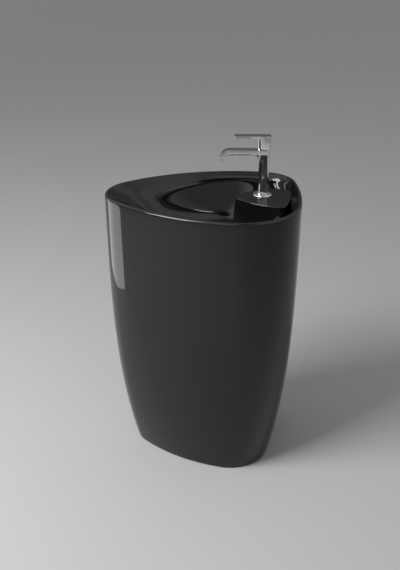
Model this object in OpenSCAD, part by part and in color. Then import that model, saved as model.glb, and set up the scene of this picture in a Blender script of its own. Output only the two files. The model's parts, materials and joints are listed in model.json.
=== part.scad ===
// Free-standing pedestal washbasin: one ceramic column with a rounded triangular plan, a deep bowl
// that runs round a raised tap deck, a single-lever tap, and the plumbing inside the hollow column.
// Millimetres, +Z up. The origin is on the floor at the middle of the rim. The spout points to -X
// and the service opening faces +Y.

/* [Rim] */
// Height of the rim above the floor
rim_h = 845; // [800:1:900]
// Left corner of the rim: distance of its arc centre from the middle
tip_x = -163; // [-200:1:-130]
// Left corner: sideways place of its arc centre
tip_y = 21; // [0:1:40]
// Left corner: arc radius
tip_r = 121; // [100:1:135]
// Front corner: arc centre, along X
front_x = 105; // [80:1:130]
// Front corner: arc centre, along Y
front_y = -60; // [-80:1:-45]
// Front corner: arc radius
front_r = 171; // [150:1:180]
// Rear corner: arc centre, along X
rear_x = 171; // [150:1:190]
// Rear corner: arc centre, along Y
rear_y = 117; // [100:1:135]
// Rear corner: arc radius
rear_r = 108; // [95:1:120]
// Bulge radius of the short right side
right_bulge = 753; // [600:1:900]
// Bulge radius of the long back side
back_bulge = 547; // [500:1:700]
// Bulge radius of the long front side
front_bulge = 565; // [520:1:700]
// Radius of the rim's rounded lip
lip_r = 8; // [6:0.5:10]

/* [Column] */
// How far the wall draws in between the rim and the foot
foot_inset = 44; // [30:1:52]
// Extra draw-in of the left corner at the foot
foot_tip_in = 25; // [10:1:35]
// Extra draw-in of the front corner at the foot, along X
foot_front_in_x = 18; // [8:1:24]
// Extra draw-in of the front corner at the foot, along Y
foot_front_in_y = 12; // [4:1:18]
// Steepness of the draw-in curve (1 is straight)
taper_power = 2.72; // [2:0.01:3.5]
// Share by which the draw-in eases off towards the rim
taper_ease = 0.48; // [0.2:0.01:0.7]
// Ceramic wall thickness
wall = 14; // [11:0.5:16]
// Rounding of the foot's lower edge
foot_round = 3; // [2:0.5:5]

/* [Bowl] */
// Depth of the bowl floor below the rim
bowl_deep = 130; // [110:1:150]
// Depth of the channel behind the tap deck
channel_deep = 60; // [50:1:75]
// Share of the bowl's width taken by the sloping flange
flange_share = 0.19; // [0.15:0.005:0.23]
// Share of the depth that the flange falls
flange_fall = 0.2; // [0.15:0.01:0.26]
// Half the share of the width over which the flange bends into the bowl wall
flange_bend = 0.07; // [0.03:0.005:0.1]
// Share of the bowl's width at which the floor begins
floor_share = 0.7; // [0.62:0.01:0.72]
// Thickness of the ceramic under the bowl
bowl_t = 14; // [11:0.5:16]
// Waste outlet, along X
waste_x = 10; // [0:1:18]
// Waste outlet, along Y
waste_y = 20; // [10:1:30]
// Hole for the waste through the bowl floor
waste_hole_d = 45; // [44:0.5:47]

/* [Tap deck] */
// Drop of the tap deck below the rim
deck_drop = 12; // [8:1:16]
// Front corner of the deck, along X
deck_front_x = 217; // [212:1:222]
// Front corner of the deck, along Y
deck_front_y = -50; // [-55:1:-45]
// Front corner of the deck: arc radius
deck_front_r = 19; // [16:1:22]
// Rear corner of the deck, along X
deck_rear_x = 227; // [222:1:230]
// Rear corner of the deck, along Y
deck_rear_y = 61; // [56:1:66]
// Rear corner of the deck: arc radius
deck_rear_r = 31; // [28:1:33]
// Left corner of the deck, along X
deck_tip_x = 126; // [120:1:132]
// Left corner of the deck, along Y
deck_tip_y = 19; // [14:1:24]
// Left corner of the deck: arc radius
deck_tip_r = 32; // [28:1:35]
// Bulge radius of the deck's right side
deck_right_bulge = 400; // [300:1:500]
// Bulge radius of the deck's back side
deck_back_bulge = 155; // [145:1:175]
// Bulge radius of the deck's front side
deck_front_bulge = 200; // [180:1:230]
// Rounding of the deck's upper edge
deck_edge_r = 3; // [2:0.5:4]
// Outward slope of the deck's side wall
deck_draft = 0.085; // [0.05:0.005:0.1]
// Ceramic thickness round the hollow deck
deck_t = 10; // [9:0.5:12]
// Tap hole
tap_hole_d = 35; // [34:0.5:37]
// Tap axis, along X
tap_x = 172; // [168:1:176]
// Tap axis, along Y
tap_y = 35; // [30:1:38]

/* [Service opening] */
// Width of the opening in the back of the column
service_w = 200; // [160:5:230]
// Height of the opening above the floor
service_h = 520; // [460:5:560]
// Corner radius at the top of the opening
service_r = 70; // [50:5:78]
// Middle of the opening, along X
service_x = 20; // [0:1:40]

/* [Tap] */
// Height of the tap body's flat top above the deck
body_top = 134.5; // [125:0.5:145]
// Depth of the column at its foot, along X
column_foot = 27.6; // [26:0.2:30]
// Reach of the column's top behind the tap axis
column_rear = 18.2; // [17:0.2:19]
// Reach of the column in front of the tap axis
column_front = 13.5; // [13:0.1:14]
// Width of the spout and the column's top
spout_w = 30; // [28:0.5:32]
// Thickness of the spout
spout_t = 12.5; // [11:0.5:14]
// Reach of the spout tip from the tap axis
spout_reach = 126; // [115:1:140]
// Outer radius of the spout's turned-down tip
spout_tip_r = 29; // [25:0.5:32]
// Angle that the tip turns down
spout_tip_turn = 86; // [70:1:89]
// Hollow radius under the root of the spout
root_r = 17; // [12:0.5:20]
// Diameter of the round base plate
base_d = 54.6; // [50:0.2:60]
// Bore for the cartridge
cartridge_bore_d = 25.2; // [24.6:0.1:25.6]
// Place of the cartridge and swivel axis behind the tap axis
swivel_x = 1.5; // [0.5:0.5:2.5]

/* [Lever] */
// Height of the lever's block
block_h = 36; // [32:0.5:40]
// Reach of the block in front of the tap axis
block_front = 18; // [16:0.5:20]
// Reach of the block behind the tap axis
block_rear = 19; // [18:0.5:21]
// Width of the lever
lever_w = 29; // [27:0.5:31]
// Thickness of the lever plate
lever_t = 3.4; // [3:0.1:4.5]
// Reach of the lever plate in front of the tap axis
lever_reach = 84; // [70:1:95]
// Largest lift of the lever, in degrees
lever_lift = 22; // [15:1:24]
// Gap between the tap body and the block
lever_gap = 0.4; // [0.3:0.1:0.8]

/* [Waste] */
// Diameter of the waste's threaded tail
waste_thread_d = 41.9; // [40:0.1:42]
// Bore of the waste
waste_bore_d = 35; // [33:0.5:36]
// Length of the waste below the bowl floor
waste_len = 78; // [70:1:90]
// Diameter of the waste flange
waste_flange_d = 64; // [60:1:68]
// Diameter of the waste cover
cover_d = 66; // [62:1:70]
// Travel of the waste cover
cover_travel = 9; // [6:0.5:11]
// Outer diameter of the waste pipe
pipe_d = 32; // [32:0.5:36]
// Wall of the waste pipe
pipe_wall = 1.6; // [1.2:0.1:2.5]
// Height of the trap's lowest point above the floor
trap_low = 440; // [380:5:460]
// Distance between the trap and the floor pipe
outlet_reach = 95; // [85:1:120]

/* [Supply] */
// Outer diameter of the copper tails
tail_d = 10; // [9:0.5:10]
// Outer diameter of the floor pipes
riser_d = 15; // [15:0.5:18]
// Distance between the hot and the cold floor pipe
riser_gap = 100; // [90:1:120]
// Height of the stop valves' middle above the floor
valve_h = 170; // [140:5:220]

/* [Floor fixing] */
// Distance between the two floor brackets, middle to middle
bracket_gap = 250; // [230:1:256]
// Floor bolt hole
bracket_hole_d = 9; // [8:0.5:10]
// Thickness of the bracket plate
bracket_t = 4; // [3:0.5:5]

/* [Hidden] */
e = 0.5; // overrun of a cut past the face it opens

// Plan curves: three corner arcs [x, y, radius] joined by three bulged sides, anticlockwise
corner_steps = 12;
side_steps = 10;
n = 3 * (corner_steps + side_steps);

function bulge_centre(a, b, r) =
    let (d = norm([b.x - a.x, b.y - a.y]), ux = (b.x - a.x) / d, uy = (b.y - a.y) / d,
         along = (d * d + pow(r - a.z, 2) - pow(r - b.z, 2)) / (2 * d),
         off = sqrt(max(0, pow(r - a.z, 2) - along * along)))
    [a.x + ux * along - uy * off, a.y + uy * along + ux * off];

// Angle from one direction to another, anticlockwise
function turn(from, to) = (to - from + 720) % 360;

// Directions in which the corner arcs begin (side = 0) and end (side = 1)
function joints(corners, mid, side) =
    [for (k = [0 : 2]) let (c = corners[k], m = mid[(k + 2 + side) % 3]) atan2(c.y - m.y, c.x - m.x)];
function centres(corners, bulges) =
    [for (k = [0 : 2]) bulge_centre(corners[k], corners[(k + 1) % 3], bulges[k])];

// Directions in which the points of every curve face: arc by arc round the rim
function directions(corners, bulges) =
    let (mid = centres(corners, bulges), into = joints(corners, mid, 0), out = joints(corners, mid, 1))
    [for (k = [0 : 2]) each concat(
        [for (i = [0 : corner_steps - 1]) into[k] + turn(into[k], out[k]) * i / corner_steps],
        [for (i = [0 : side_steps - 1]) out[k] + turn(out[k], into[(k + 1) % 3]) * i / side_steps])];

// Points of a curve as [x, y, normal x, normal y], one for each direction in `facing`
function outline(corners, bulges) =
    let (mid = centres(corners, bulges), into = joints(corners, mid, 0), out = joints(corners, mid, 1))
    [for (a = facing)
        let (k = [for (i = [0 : 2]) if (turn(into[i], a) < turn(into[i], into[(i + 1) % 3])) i][0],
             corner = turn(into[k], a) <= turn(into[k], out[k]),
             c = corner ? corners[k] : mid[k], r = corner ? corners[k].z : bulges[k])
        [c.x + r * cos(a), c.y + r * sin(a), cos(a), sin(a)]];

// Moves a plan curve inwards and sets its height
function inset(curve, d, z) = [for (p = curve) [p[0] - d * p[2], p[1] - d * p[3], z]];

function lerp(a, b, t) = a + (b - a) * t;
function smooth(t) = let (c = min(1, max(0, t))) c * c * (3 - 2 * c);

// Outer wall: the rim's plan drawn in towards the foot
lip_z = rim_h - lip_r;
function draw_in(h) = pow(1 - h, taper_power) * (1 - taper_ease * h);
function wall_plan(z) =
    let (g = draw_in(min(1, z / lip_z)), s = foot_inset * g)
    outline([[front_x - foot_front_in_x * g, front_y + foot_front_in_y * g, front_r - s],
             [rear_x, rear_y, rear_r - s],
             [tip_x + foot_tip_in * g, tip_y, tip_r - s]],
            [right_bulge - s, back_bulge - s, front_bulge - s]);

// Rim and tap deck
facing = directions([[front_x, front_y, front_r], [rear_x, rear_y, rear_r], [tip_x, tip_y, tip_r]],
                    [right_bulge, back_bulge, front_bulge]);
rim = wall_plan(lip_z);
deck = outline([[deck_front_x, deck_front_y, deck_front_r], [deck_rear_x, deck_rear_y, deck_rear_r],
                [deck_tip_x, deck_tip_y, deck_tip_r]],
               [deck_right_bulge, deck_back_bulge, deck_front_bulge]);
deck_z = rim_h - deck_drop;
lip_end = 112; // angle at which the rounded lip runs into the flange
lip_in = lip_r * (1 - cos(lip_end));
lip_foot = inset(rim, lip_in, lip_z + lip_r * sin(lip_end));

// Bowl: each point of the rim is joined to the same point of the deck by one section, which falls
// over the flange and the bowl wall to the floor and rises through a cove into the deck's wall
cove_max = 12;
slope_start = waste_x + waste_flange_d / 2 + 3;
slope_end = rear_x + 20;
depth = [for (i = [0 : n - 1])
    lerp(bowl_deep, channel_deep,
         smooth(((lip_foot[i].x + deck[i].x) / 2 - slope_start) / (slope_end - slope_start)))];
flare = [for (i = [0 : n - 1]) deck_draft * (depth[i] - deck_drop)];
gap = [for (i = [0 : n - 1])
    (lip_foot[i].x - deck[i].x) * deck[i][2] + (lip_foot[i].y - deck[i].y) * deck[i][3]];
cove = [for (i = [0 : n - 1]) min(cove_max, 0.3 * (gap[i] - flare[i]))];
floor_z = [for (d = depth) rim_h - d];
waste_floor = rim_h - bowl_deep;

// Share of the depth reached at share u of the way from the lip to the deck's cove: the slope is
// even on the flange, grows over its bend and eases off to the floor
flange_slope = flange_fall / flange_share;
bend_end = flange_share + flange_bend;
wall_slope = (1 - flange_fall) / ((floor_share + bend_end) / 2 - flange_share);
function ramp(u, from, to) = let (t = (u - from) / (to - from))
    (to - from) * (t < 0 ? 0 : t < 1 ? pow(t, 3) - pow(t, 4) / 2 : t - 0.5);
function fall(u) = flange_slope * u + (wall_slope - flange_slope) * ramp(u, flange_share - flange_bend, bend_end)
    - wall_slope * ramp(u, bend_end, floor_share);

// Ring of points round the deck at offset d[i] and height z[i]
function round_deck(d, z) =
    [for (i = [0 : n - 1]) [deck[i][0] + d[i] * deck[i][2], deck[i][1] + d[i] * deck[i][3], z[i]]];
cove_foot = round_deck(flare + cove, floor_z);
function bowl_ring(u) = [for (i = [0 : n - 1])
    [lerp(lip_foot[i].x, cove_foot[i].x, u), lerp(lip_foot[i].y, cove_foot[i].y, u),
     lerp(lip_foot[i].z, rim_h - depth[i], fall(u))]];

// Underside of the bowl, one wall thickness away, from the inner wall to the hollow deck
under_top = inset(rim, wall, 0);
under_lead = [for (g = gap) min(0.9, 0.8 * bowl_t / g)];
function under_ring(u) = [for (i = [0 : n - 1])
    [lerp(under_top[i].x, cove_foot[i].x, u), lerp(under_top[i].y, cove_foot[i].y, u),
     lerp(lip_foot[i].z, rim_h - depth[i], fall(min(1, u + under_lead[i]))) - bowl_t]];

deck_rings = [for (a = [0 : 30 : 90])
    inset(deck, deck_edge_r * (1 - sin(a)), deck_z - deck_edge_r * (1 - cos(a)))];
deck_side = [for (t = [0.5, 1])
    round_deck(flare * t, [for (i = [0 : n - 1])
        lerp(deck_z - deck_edge_r, floor_z[i] + cove[i], t)])];
cove_rings = [for (a = [60, 30, 0])
    round_deck([for (i = [0 : n - 1]) flare[i] + cove[i] * (1 - sin(a))],
               [for (i = [0 : n - 1]) floor_z[i] + cove[i] * (1 - cos(a))])];
bowl_steps = 11;
bowl_rings = [for (u = concat([0.88], [for (j = [bowl_steps : -1 : 1]) floor_share * j / bowl_steps]))
    bowl_ring(u)];
lip_rings = [for (a = [lip_end, 96, 80, 62, 42, 20, 0])
    inset(rim, lip_r * (1 - cos(a)), lip_z + lip_r * sin(a))];
wall_steps = 12;
wall_rings = [for (j = [wall_steps - 1 : -1 : 1]) let (z = lip_z * pow(j / wall_steps, 1.5))
    inset(wall_plan(z), 0, z)];
foot_rings = [for (a = [0, 50, 90])
    inset(wall_plan(0), foot_round * (1 - cos(a)), foot_round * (1 - sin(a)))];
inner_rings = [for (h = [0, 0.05, 0.12, 0.22, 0.36, 0.55, 0.75])
    inset(wall_plan(h * lip_z), wall, h * lip_z)];
under_steps = 7;
under_rings = [for (j = [0 : under_steps]) under_ring(j / under_steps)];
pocket_rings = [
    round_deck([for (f = flare) f - deck_t], [for (z = floor_z) z - bowl_t]),
    inset(deck, deck_t, deck_z - bowl_t - deck_edge_r),
    inset(deck, deck_t + deck_edge_r, deck_z - bowl_t)];

// Closed skin through a list of rings, with a flat cap on the first and the last
module skin(rings) {
    last = len(rings) - 1;
    polyhedron(
        points = [for (r = rings) each r],
        faces = concat(
            [[for (i = [n - 1 : -1 : 0]) i]],
            [for (k = [0 : last - 1], i = [0 : n - 1]) each
                let (a = k * n + i, b = k * n + (i + 1) % n) [[a, b, b + n], [a, b + n, a + n]]],
            [[for (i = [0 : n - 1]) last * n + i]]));
}

module service_cut() {
    translate([service_x, 0, 0]) rotate([90, 0, 180]) linear_extrude(rim_h)
        union() {
            translate([-service_w / 2, -e]) square([service_w, service_h - service_r + e]);
            translate([-service_w / 2 + service_r, 0]) square([service_w - 2 * service_r, service_h]);
            for (s = [-1, 1])
                translate([s * (service_w / 2 - service_r), service_h - service_r])
                    circle(service_r, $fn = 96);
        }
}

// Floor brackets stand inside the back wall, one on each side of the service opening
bolt_z = 38;
bolt_d = 8;
sleeve_d = 12;
bracket_h = 60;
bracket_w = 34;
bracket_foot = 42;
bracket_back = wall + 12;

// Where the outer back wall lies at a given x and height, and the angle at which it faces outwards
function back_wall(x, z) = let (p = wall_plan(z))
    [for (i = [0 : n - 1]) let (a = p[i], b = p[(i + 1) % n], t = (a.x - x) / (a.x - b.x))
        if (a[3] > 0.3 && a.x >= x && b.x < x)
            [lerp(a.y, b.y, t), atan2(lerp(a[3], b[3], t), lerp(a[2], b[2], t))]][0];
function bracket_x(s) = service_x + s * bracket_gap / 2;
// Frame of a bracket: +Y points outwards through the wall
module at_bracket(s) {
    place = back_wall(bracket_x(s), bolt_z);
    translate([bracket_x(s), place[0], 0]) rotate([0, 0, place[1] - 90]) children();
}

module basin() {
    color([0.05, 0.05, 0.05])
    difference() {
        skin(concat(deck_rings, deck_side, cove_rings, bowl_rings, lip_rings, wall_rings,
                    foot_rings, inner_rings, under_rings, pocket_rings));
        service_cut();
        translate([tap_x, tap_y, deck_z - bowl_t - e]) cylinder(d = tap_hole_d, h = bowl_t + 2 * e, $fn = 96);
        translate([waste_x, waste_y, waste_floor - bowl_t - e])
            cylinder(d = waste_hole_d, h = bowl_t + 2 * e, $fn = 96);
        for (s = [-1, 1]) at_bracket(s) translate([0, -30, bolt_z]) rotate([-90, 0, 0])
            cylinder(d = sleeve_d, h = 60, $fn = 48);
    }
}
basin();

// Helpers for the fittings
module tube(d, bore, h, fn = 64) {
    difference() {
        cylinder(d = d, h = h, $fn = fn);
        translate([0, 0, -e]) cylinder(d = bore, h = h + 2 * e, $fn = fn);
    }
}

// Hexagon of the given width across its flats
module hex(across, h) { cylinder(d = across / cos(30), h = h, $fn = 6); }

module hex_nut(across, bore, h) {
    difference() {
        hex(across, h);
        translate([0, 0, -e]) cylinder(d = bore, h = h + 2 * e, $fn = 64);
    }
}

// Rounded rectangle from x0 to x1, centred on the X axis
module round_rect(x0, x1, width, r) {
    translate([x0 + r, -width / 2]) square([x1 - x0 - 2 * r, width]);
    translate([x0, r - width / 2]) square([x1 - x0, width - 2 * r]);
    for (x = [x0 + r, x1 - r], y = [r - width / 2, width / 2 - r])
        translate([x, y]) circle(r, $fn = 48);
}

// Bends in the XZ plane: from the origin going up, turning towards +X
module bend(d, bore, r, turn) {
    translate([r, 0, 0]) rotate([90, 0, 0]) rotate([0, 0, 180 - turn])
        rotate_extrude(angle = turn, $fn = 96) translate([r, 0]) difference() {
            circle(d = d, $fn = 40);
            circle(d = bore, $fn = 40);
        }
}

// Solid bend that laps a little into the straight rods at its ends
module rod_bend(d, r, turn) {
    lap = 1;
    translate([r, 0, 0]) rotate([90, 0, 0]) rotate([0, 0, 180 - turn - lap])
        rotate_extrude(angle = turn + 2 * lap, $fn = 96) translate([r, 0]) circle(d = d, $fn = 40);
}

module at_tap() { translate([tap_x, tap_y, deck_z]) children(); }
module at_swivel() { at_tap() translate([swivel_x, 0, 0]) children(); }

// Tap: seat on the deck
gasket_t = 1;
plate_t = 4;
plate_rim = 0.8;
stud_d = 8;
stud_y = -9;
inlet_x = 7.5;
inlet_y = 4;
inlet_clear = 0.2;
body_foot = gasket_t + plate_t;

module tap_gasket() {
    color([0.12, 0.12, 0.12])
    at_tap() tube(base_d - 4, tap_hole_d + 1, gasket_t, 96);
}

module tap_base_plate() {
    dome = column_foot / 2 + 4;
    color([0.8, 0.81, 0.83])
    at_tap() translate([0, 0, gasket_t]) difference() {
        rotate_extrude($fn = 96) polygon(concat(
            [[0, 0], [base_d / 2, 0]],
            [for (a = [0 : 15 : 90]) [dome + (base_d / 2 - dome) * cos(a),
                                      plate_rim + (plate_t - plate_rim) * sin(a)]],
            [[0, plate_t]]));
        translate([0, stud_y, -e]) cylinder(d = stud_d + inlet_clear, h = plate_t + 2 * e, $fn = 48);
        for (s = [-1, 1]) translate([s * inlet_x, inlet_y, -e])
            cylinder(d = tail_d + inlet_clear, h = plate_t + 2 * e, $fn = 48);
    }
}

// Tap body: tapering column with the bar spout, bored for the cartridge, inlets, stud and waterway
spout_bar = spout_reach - spout_tip_r;
cartridge_len = 42;
inlet_depth = 12;
stud_depth = 15;
aerator_l = 22;
aerator_w = 7;
aerator_h = 6;

module spout_profile() {
    low = body_top - spout_t;
    translate([-spout_bar, low]) square([spout_bar + 10, spout_t]);
    translate([-spout_bar, body_top - spout_tip_r]) difference() {
        intersection() {
            circle(spout_tip_r, $fn = 128);
            polygon([[0, 0], [0, 2 * spout_tip_r], [-2 * spout_tip_r, 2 * spout_tip_r],
                     [-2 * spout_tip_r * sin(spout_tip_turn), 2 * spout_tip_r * cos(spout_tip_turn)]]);
        }
        circle(spout_tip_r - spout_t, $fn = 96);
    }
    translate([-column_front - root_r, low - root_r]) difference() {
        square([root_r + 3, root_r + 1]);
        circle(root_r, $fn = 96);
    }
}

// Frame of the spout's end face, its -Z along the water
module at_outlet() {
    r = spout_tip_r - spout_t / 2;
    at_tap() translate([-spout_bar - r * sin(spout_tip_turn), 0,
                        body_top - spout_tip_r + r * cos(spout_tip_turn)])
        rotate([0, 90 - spout_tip_turn, 0]) children();
}

module tap_body() {
    foot_r = 6.5;
    head_r = 8;
    skin_t = 0.1;
    color([0.8, 0.81, 0.83])
    difference() {
        at_tap() union() {
            hull() {
                translate([0, 0, body_foot]) linear_extrude(skin_t)
                    round_rect(-column_foot / 2, column_foot / 2, column_foot, foot_r);
                translate([0, 0, body_top - skin_t]) linear_extrude(skin_t)
                    round_rect(-column_front, column_rear, spout_w, head_r);
            }
            rotate([90, 0, 0]) linear_extrude(spout_w, center = true) spout_profile();
        }
        at_swivel() translate([0, 0, body_top - cartridge_len])
            cylinder(d = cartridge_bore_d, h = cartridge_len + e, $fn = 96);
        at_tap() {
            translate([0, stud_y, body_foot - e]) cylinder(d = stud_d, h = stud_depth + e, $fn = 48);
            for (s = [-1, 1]) translate([s * inlet_x, inlet_y, body_foot - e])
                cylinder(d = tail_d, h = inlet_depth + e, $fn = 48);
        }
        at_outlet() translate([-aerator_w / 2, -aerator_l / 2, -e])
            cube([aerator_w, aerator_l, aerator_h + e]);
    }
}

module aerator_insert() {
    jet_d = 1.8;
    pitch = 2.9;
    color([0.25, 0.26, 0.27])
    at_outlet() translate([0, 0, 0.4]) difference() {
        translate([-aerator_w / 2, -aerator_l / 2, 0]) cube([aerator_w, aerator_l, aerator_h - 0.4]);
        for (i = [-3 : 3], x = [-0.5, 0.5])
            translate([x * pitch, i * pitch, -e]) cylinder(d = jet_d, h = aerator_h + e, $fn = 16);
    }
}

// Tap fixing under the deck
clamp_gasket_t = 3;
clamp_washer_t = 3;
stud_nut_h = 7;
clamp_z = -bowl_t;

module tap_stud() {
    color([0.75, 0.65, 0.35])
    at_tap() translate([0, stud_y, clamp_z - clamp_gasket_t - clamp_washer_t - stud_nut_h - 6])
        cylinder(d = stud_d, h = body_foot + stud_depth - clamp_z + clamp_gasket_t
                 + clamp_washer_t + stud_nut_h + 6, $fn = 48);
}

// Horseshoe plate that hooks past the two inlet tails
module horseshoe(d, t) {
    slot = 2 * inlet_x + tail_d + 2;
    difference() {
        cylinder(d = d, h = t, $fn = 96);
        translate([0, stud_y, -e]) cylinder(d = stud_d + inlet_clear, h = t + 2 * e, $fn = 48);
        translate([-slot / 2, inlet_y - tail_d / 2 - 1, -e]) cube([slot, d, t + 2 * e]);
    }
}

module horseshoe_gasket() {
    color([0.12, 0.12, 0.12])
    at_tap() translate([0, 0, clamp_z - clamp_gasket_t]) horseshoe(tap_hole_d + 13, clamp_gasket_t);
}

module horseshoe_washer() {
    color([0.7, 0.7, 0.7])
    at_tap() translate([0, 0, clamp_z - clamp_gasket_t - clamp_washer_t])
        horseshoe(tap_hole_d + 11, clamp_washer_t);
}

module stud_nut() {
    color([0.75, 0.65, 0.35])
    at_tap() translate([0, stud_y, clamp_z - clamp_gasket_t - clamp_washer_t - stud_nut_h])
        hex_nut(13, stud_d, stud_nut_h);
}

// Cartridge: the spindle is lifted for flow and turned for temperature
neck_d = 18;
cartridge_nut_h = 6;
shoulder = body_top - 7;
spindle_d = 7;
spindle_clear = 0.06;
spindle_in = 20;

module cartridge() {
    color([0.85, 0.83, 0.78])
    at_swivel() difference() {
        union() {
            translate([0, 0, body_top - cartridge_len])
                cylinder(d = cartridge_bore_d, h = shoulder - body_top + cartridge_len, $fn = 96);
            translate([0, 0, shoulder - e]) cylinder(d = neck_d, h = body_top - shoulder + e, $fn = 64);
        }
        translate([0, 0, body_top - spindle_in])
            cylinder(d = spindle_d + 2 * spindle_clear, h = spindle_in + e, $fn = 48);
    }
}

module cartridge_nut() {
    color([0.75, 0.65, 0.35])
    at_swivel() translate([0, 0, shoulder]) difference() {
        cylinder(d = cartridge_bore_d, h = cartridge_nut_h, $fn = 96);
        translate([0, 0, -e]) cylinder(d = neck_d, h = cartridge_nut_h + 2 * e, $fn = 64);
        for (a = [0 : 90 : 270]) rotate([0, 0, a]) translate([neck_d / 2 - 1.5, -1.5, cartridge_nut_h - 2])
            cube([8, 3, 2 + e]);
    }
}

// Lever: hinged at its heel on a carrier that turns with the spindle
pin_x = block_rear - swivel_x - 4.5;
pin_up = lever_gap + 4.6;
pin_d = 3;
pin_clear = 0.05;
arm_in = 3.9;
arm_out = 8;
arm_r = 3;
carrier_z = body_top + lever_gap / 2;
carrier_t = 3.5;
carrier_d = 14;
pin_rise = pin_up - lever_gap / 2; // pin axis above the carrier's underside
hollow_w = 2 * arm_out + 4;
hollow_h = 26;
hollow_front = block_front + swivel_x - 3.5;
hollow_rear = pin_x - arm_r - 1;
fork_z = 15;
fork_t = 2;
fork_front = 10.6;
fork_back = 6.5;
collar_gap = 6.4;
collar_t = 2;
spindle_neck_d = 4;

module lever_carrier() {
    color([0.2, 0.2, 0.21])
    at_swivel() translate([0, 0, carrier_z]) difference() {
        union() {
            cylinder(d = carrier_d, h = carrier_t, $fn = 64);
            for (s = [-1, 1]) translate([0, s > 0 ? arm_in : -arm_out, 0]) {
                cube([pin_x - arm_r, arm_out - arm_in, carrier_t]);
                translate([pin_x, 0, pin_rise]) rotate([-90, 0, 0])
                    cylinder(r = arm_r, h = arm_out - arm_in, $fn = 48);
                translate([pin_x - arm_r - 1, 0, pin_rise - arm_r - 0.2])
                    cube([arm_r + 1, arm_out - arm_in, arm_r]);
            }
        }
        translate([0, 0, -e]) cylinder(d = spindle_d + 2 * spindle_clear, h = carrier_t + 2 * e, $fn = 48);
        translate([pin_x, -arm_out - e, pin_rise]) rotate([-90, 0, 0])
            cylinder(d = pin_d, h = 2 * arm_out + 2 * e, $fn = 48);
    }
}

module lever_pin() {
    color([0.75, 0.75, 0.76])
    at_swivel() translate([pin_x, -arm_out - 3, body_top + pin_up]) rotate([-90, 0, 0])
        cylinder(d = pin_d, h = arm_out + 3 + lever_w / 2 - 0.2, $fn = 48);
}

module cartridge_stem() {
    color([0.75, 0.75, 0.76])
    at_swivel() translate([0, 0, body_top]) {
        mid = fork_z + lever_gap + fork_t / 2;
        translate([0, 0, -spindle_in + 3])
            cylinder(d = spindle_d, h = spindle_in - 3 + mid - collar_gap / 2, $fn = 48);
        cylinder(d = spindle_neck_d, h = mid + collar_gap / 2 + 1, $fn = 48);
        translate([0, 0, mid + collar_gap / 2]) cylinder(d = spindle_d, h = collar_t, $fn = 48);
    }
}

module lever() {
    x0 = -block_front - swivel_x;
    x1 = block_rear - swivel_x;
    corner = 8;
    heel = 4.2;
    slot = spindle_neck_d + 0.8;
    color([0.8, 0.81, 0.83])
    at_swivel() translate([0, 0, body_top + lever_gap]) difference() {
        union() {
            difference() {
                linear_extrude(block_h) round_rect(x0, x1, lever_w, corner);
                translate([x0 + 3.5, -hollow_w / 2, -e]) cube([hollow_rear - x0 - 3.5, hollow_w, hollow_h + e]);
            }
            // fork that lifts the spindle
            translate([-fork_front, -hollow_w / 2 - 1, fork_z])
                cube([fork_front + fork_back, hollow_w + 2, fork_t]);
            // plate, with large corners behind and small ones in front
            translate([0, 0, block_h - e]) linear_extrude(lever_t + e) {
                round_rect(x0, x1, lever_w, corner);
                round_rect(-lever_reach - swivel_x, 0, lever_w, 3);
            }
            // hollow under the root of the plate
            translate([x0 - 4, 0, block_h - 4]) rotate([90, 0, 0])
                linear_extrude(lever_w - 2 * corner + 6, center = true) difference() {
                    square([corner + 4, 4]);
                    circle(4, $fn = 48);
                }
        }
        translate([1.8 - fork_front, -slot / 2, fork_z - e])
            cube([fork_front + fork_back, slot, fork_t + 2 * e]);
        // pockets for the carrier's arms
        for (s = [-1, 1]) translate([0, s > 0 ? arm_in - 0.3 : -arm_out - 0.3, 0]) {
            translate([pin_x, 0, pin_up - lever_gap]) rotate([-90, 0, 0])
                cylinder(r = arm_r + 0.5, h = arm_out - arm_in + 0.6, $fn = 48);
            translate([hollow_rear - e, 0, -e])
                cube([pin_x - hollow_rear + e, arm_out - arm_in + 0.6, pin_up - lever_gap + arm_r + 0.5 + e]);
        }
        translate([pin_x, -arm_out - 3, pin_up - lever_gap]) rotate([-90, 0, 0])
            cylinder(d = pin_d + 2 * pin_clear, h = lever_w, $fn = 48);
        // rounded heel
        translate([x1 - heel, 0, heel]) rotate([90, 0, 0]) linear_extrude(lever_w + 2 * e, center = true)
            difference() {
                translate([0, -heel - e]) square([heel + e, heel + e]);
                circle(heel, $fn = 64);
            }
    }
}

tap_gasket();
tap_base_plate();
tap_body();
aerator_insert();
tap_stud();
horseshoe_gasket();
horseshoe_washer();
stud_nut();
cartridge();
cartridge_nut();
lever_carrier();
lever_pin();
cartridge_stem();
lever();

// Waste in the bowl floor
module at_waste() { translate([waste_x, waste_y, waste_floor]) children(); }
seal_t = 2;
waste_flange_t = 2.5;
flange_top = seal_t + waste_flange_t;
under_seal_t = 3;
back_nut_h = 8;
guide_z = -24;
plunger_d = 8;
slide_clear = 0.06;
boss_d = 18;
boss_low = -6;
cover_gap = 0.2;
cover_seal_t = 1.2;
cover_low = flange_top + cover_gap + cover_seal_t;
guide_top = guide_z + 4;

module waste_flange_seal() {
    color([0.12, 0.12, 0.12])
    at_waste() tube(waste_flange_d - 3, waste_hole_d, seal_t, 96);
}

module waste_body() {
    color([0.8, 0.81, 0.83])
    at_waste() rotate_extrude($fn = 96) polygon([
        [waste_bore_d / 2, flange_top - waste_len], [waste_thread_d / 2 - 1, flange_top - waste_len],
        [waste_thread_d / 2, flange_top - waste_len + 1], [waste_thread_d / 2, seal_t],
        [waste_flange_d / 2, seal_t], [waste_flange_d / 2, seal_t + 1],
        [waste_flange_d / 2 - 3, flange_top], [waste_bore_d / 2 + 3, flange_top],
        [waste_bore_d / 2, flange_top - 3]]);
}

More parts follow.
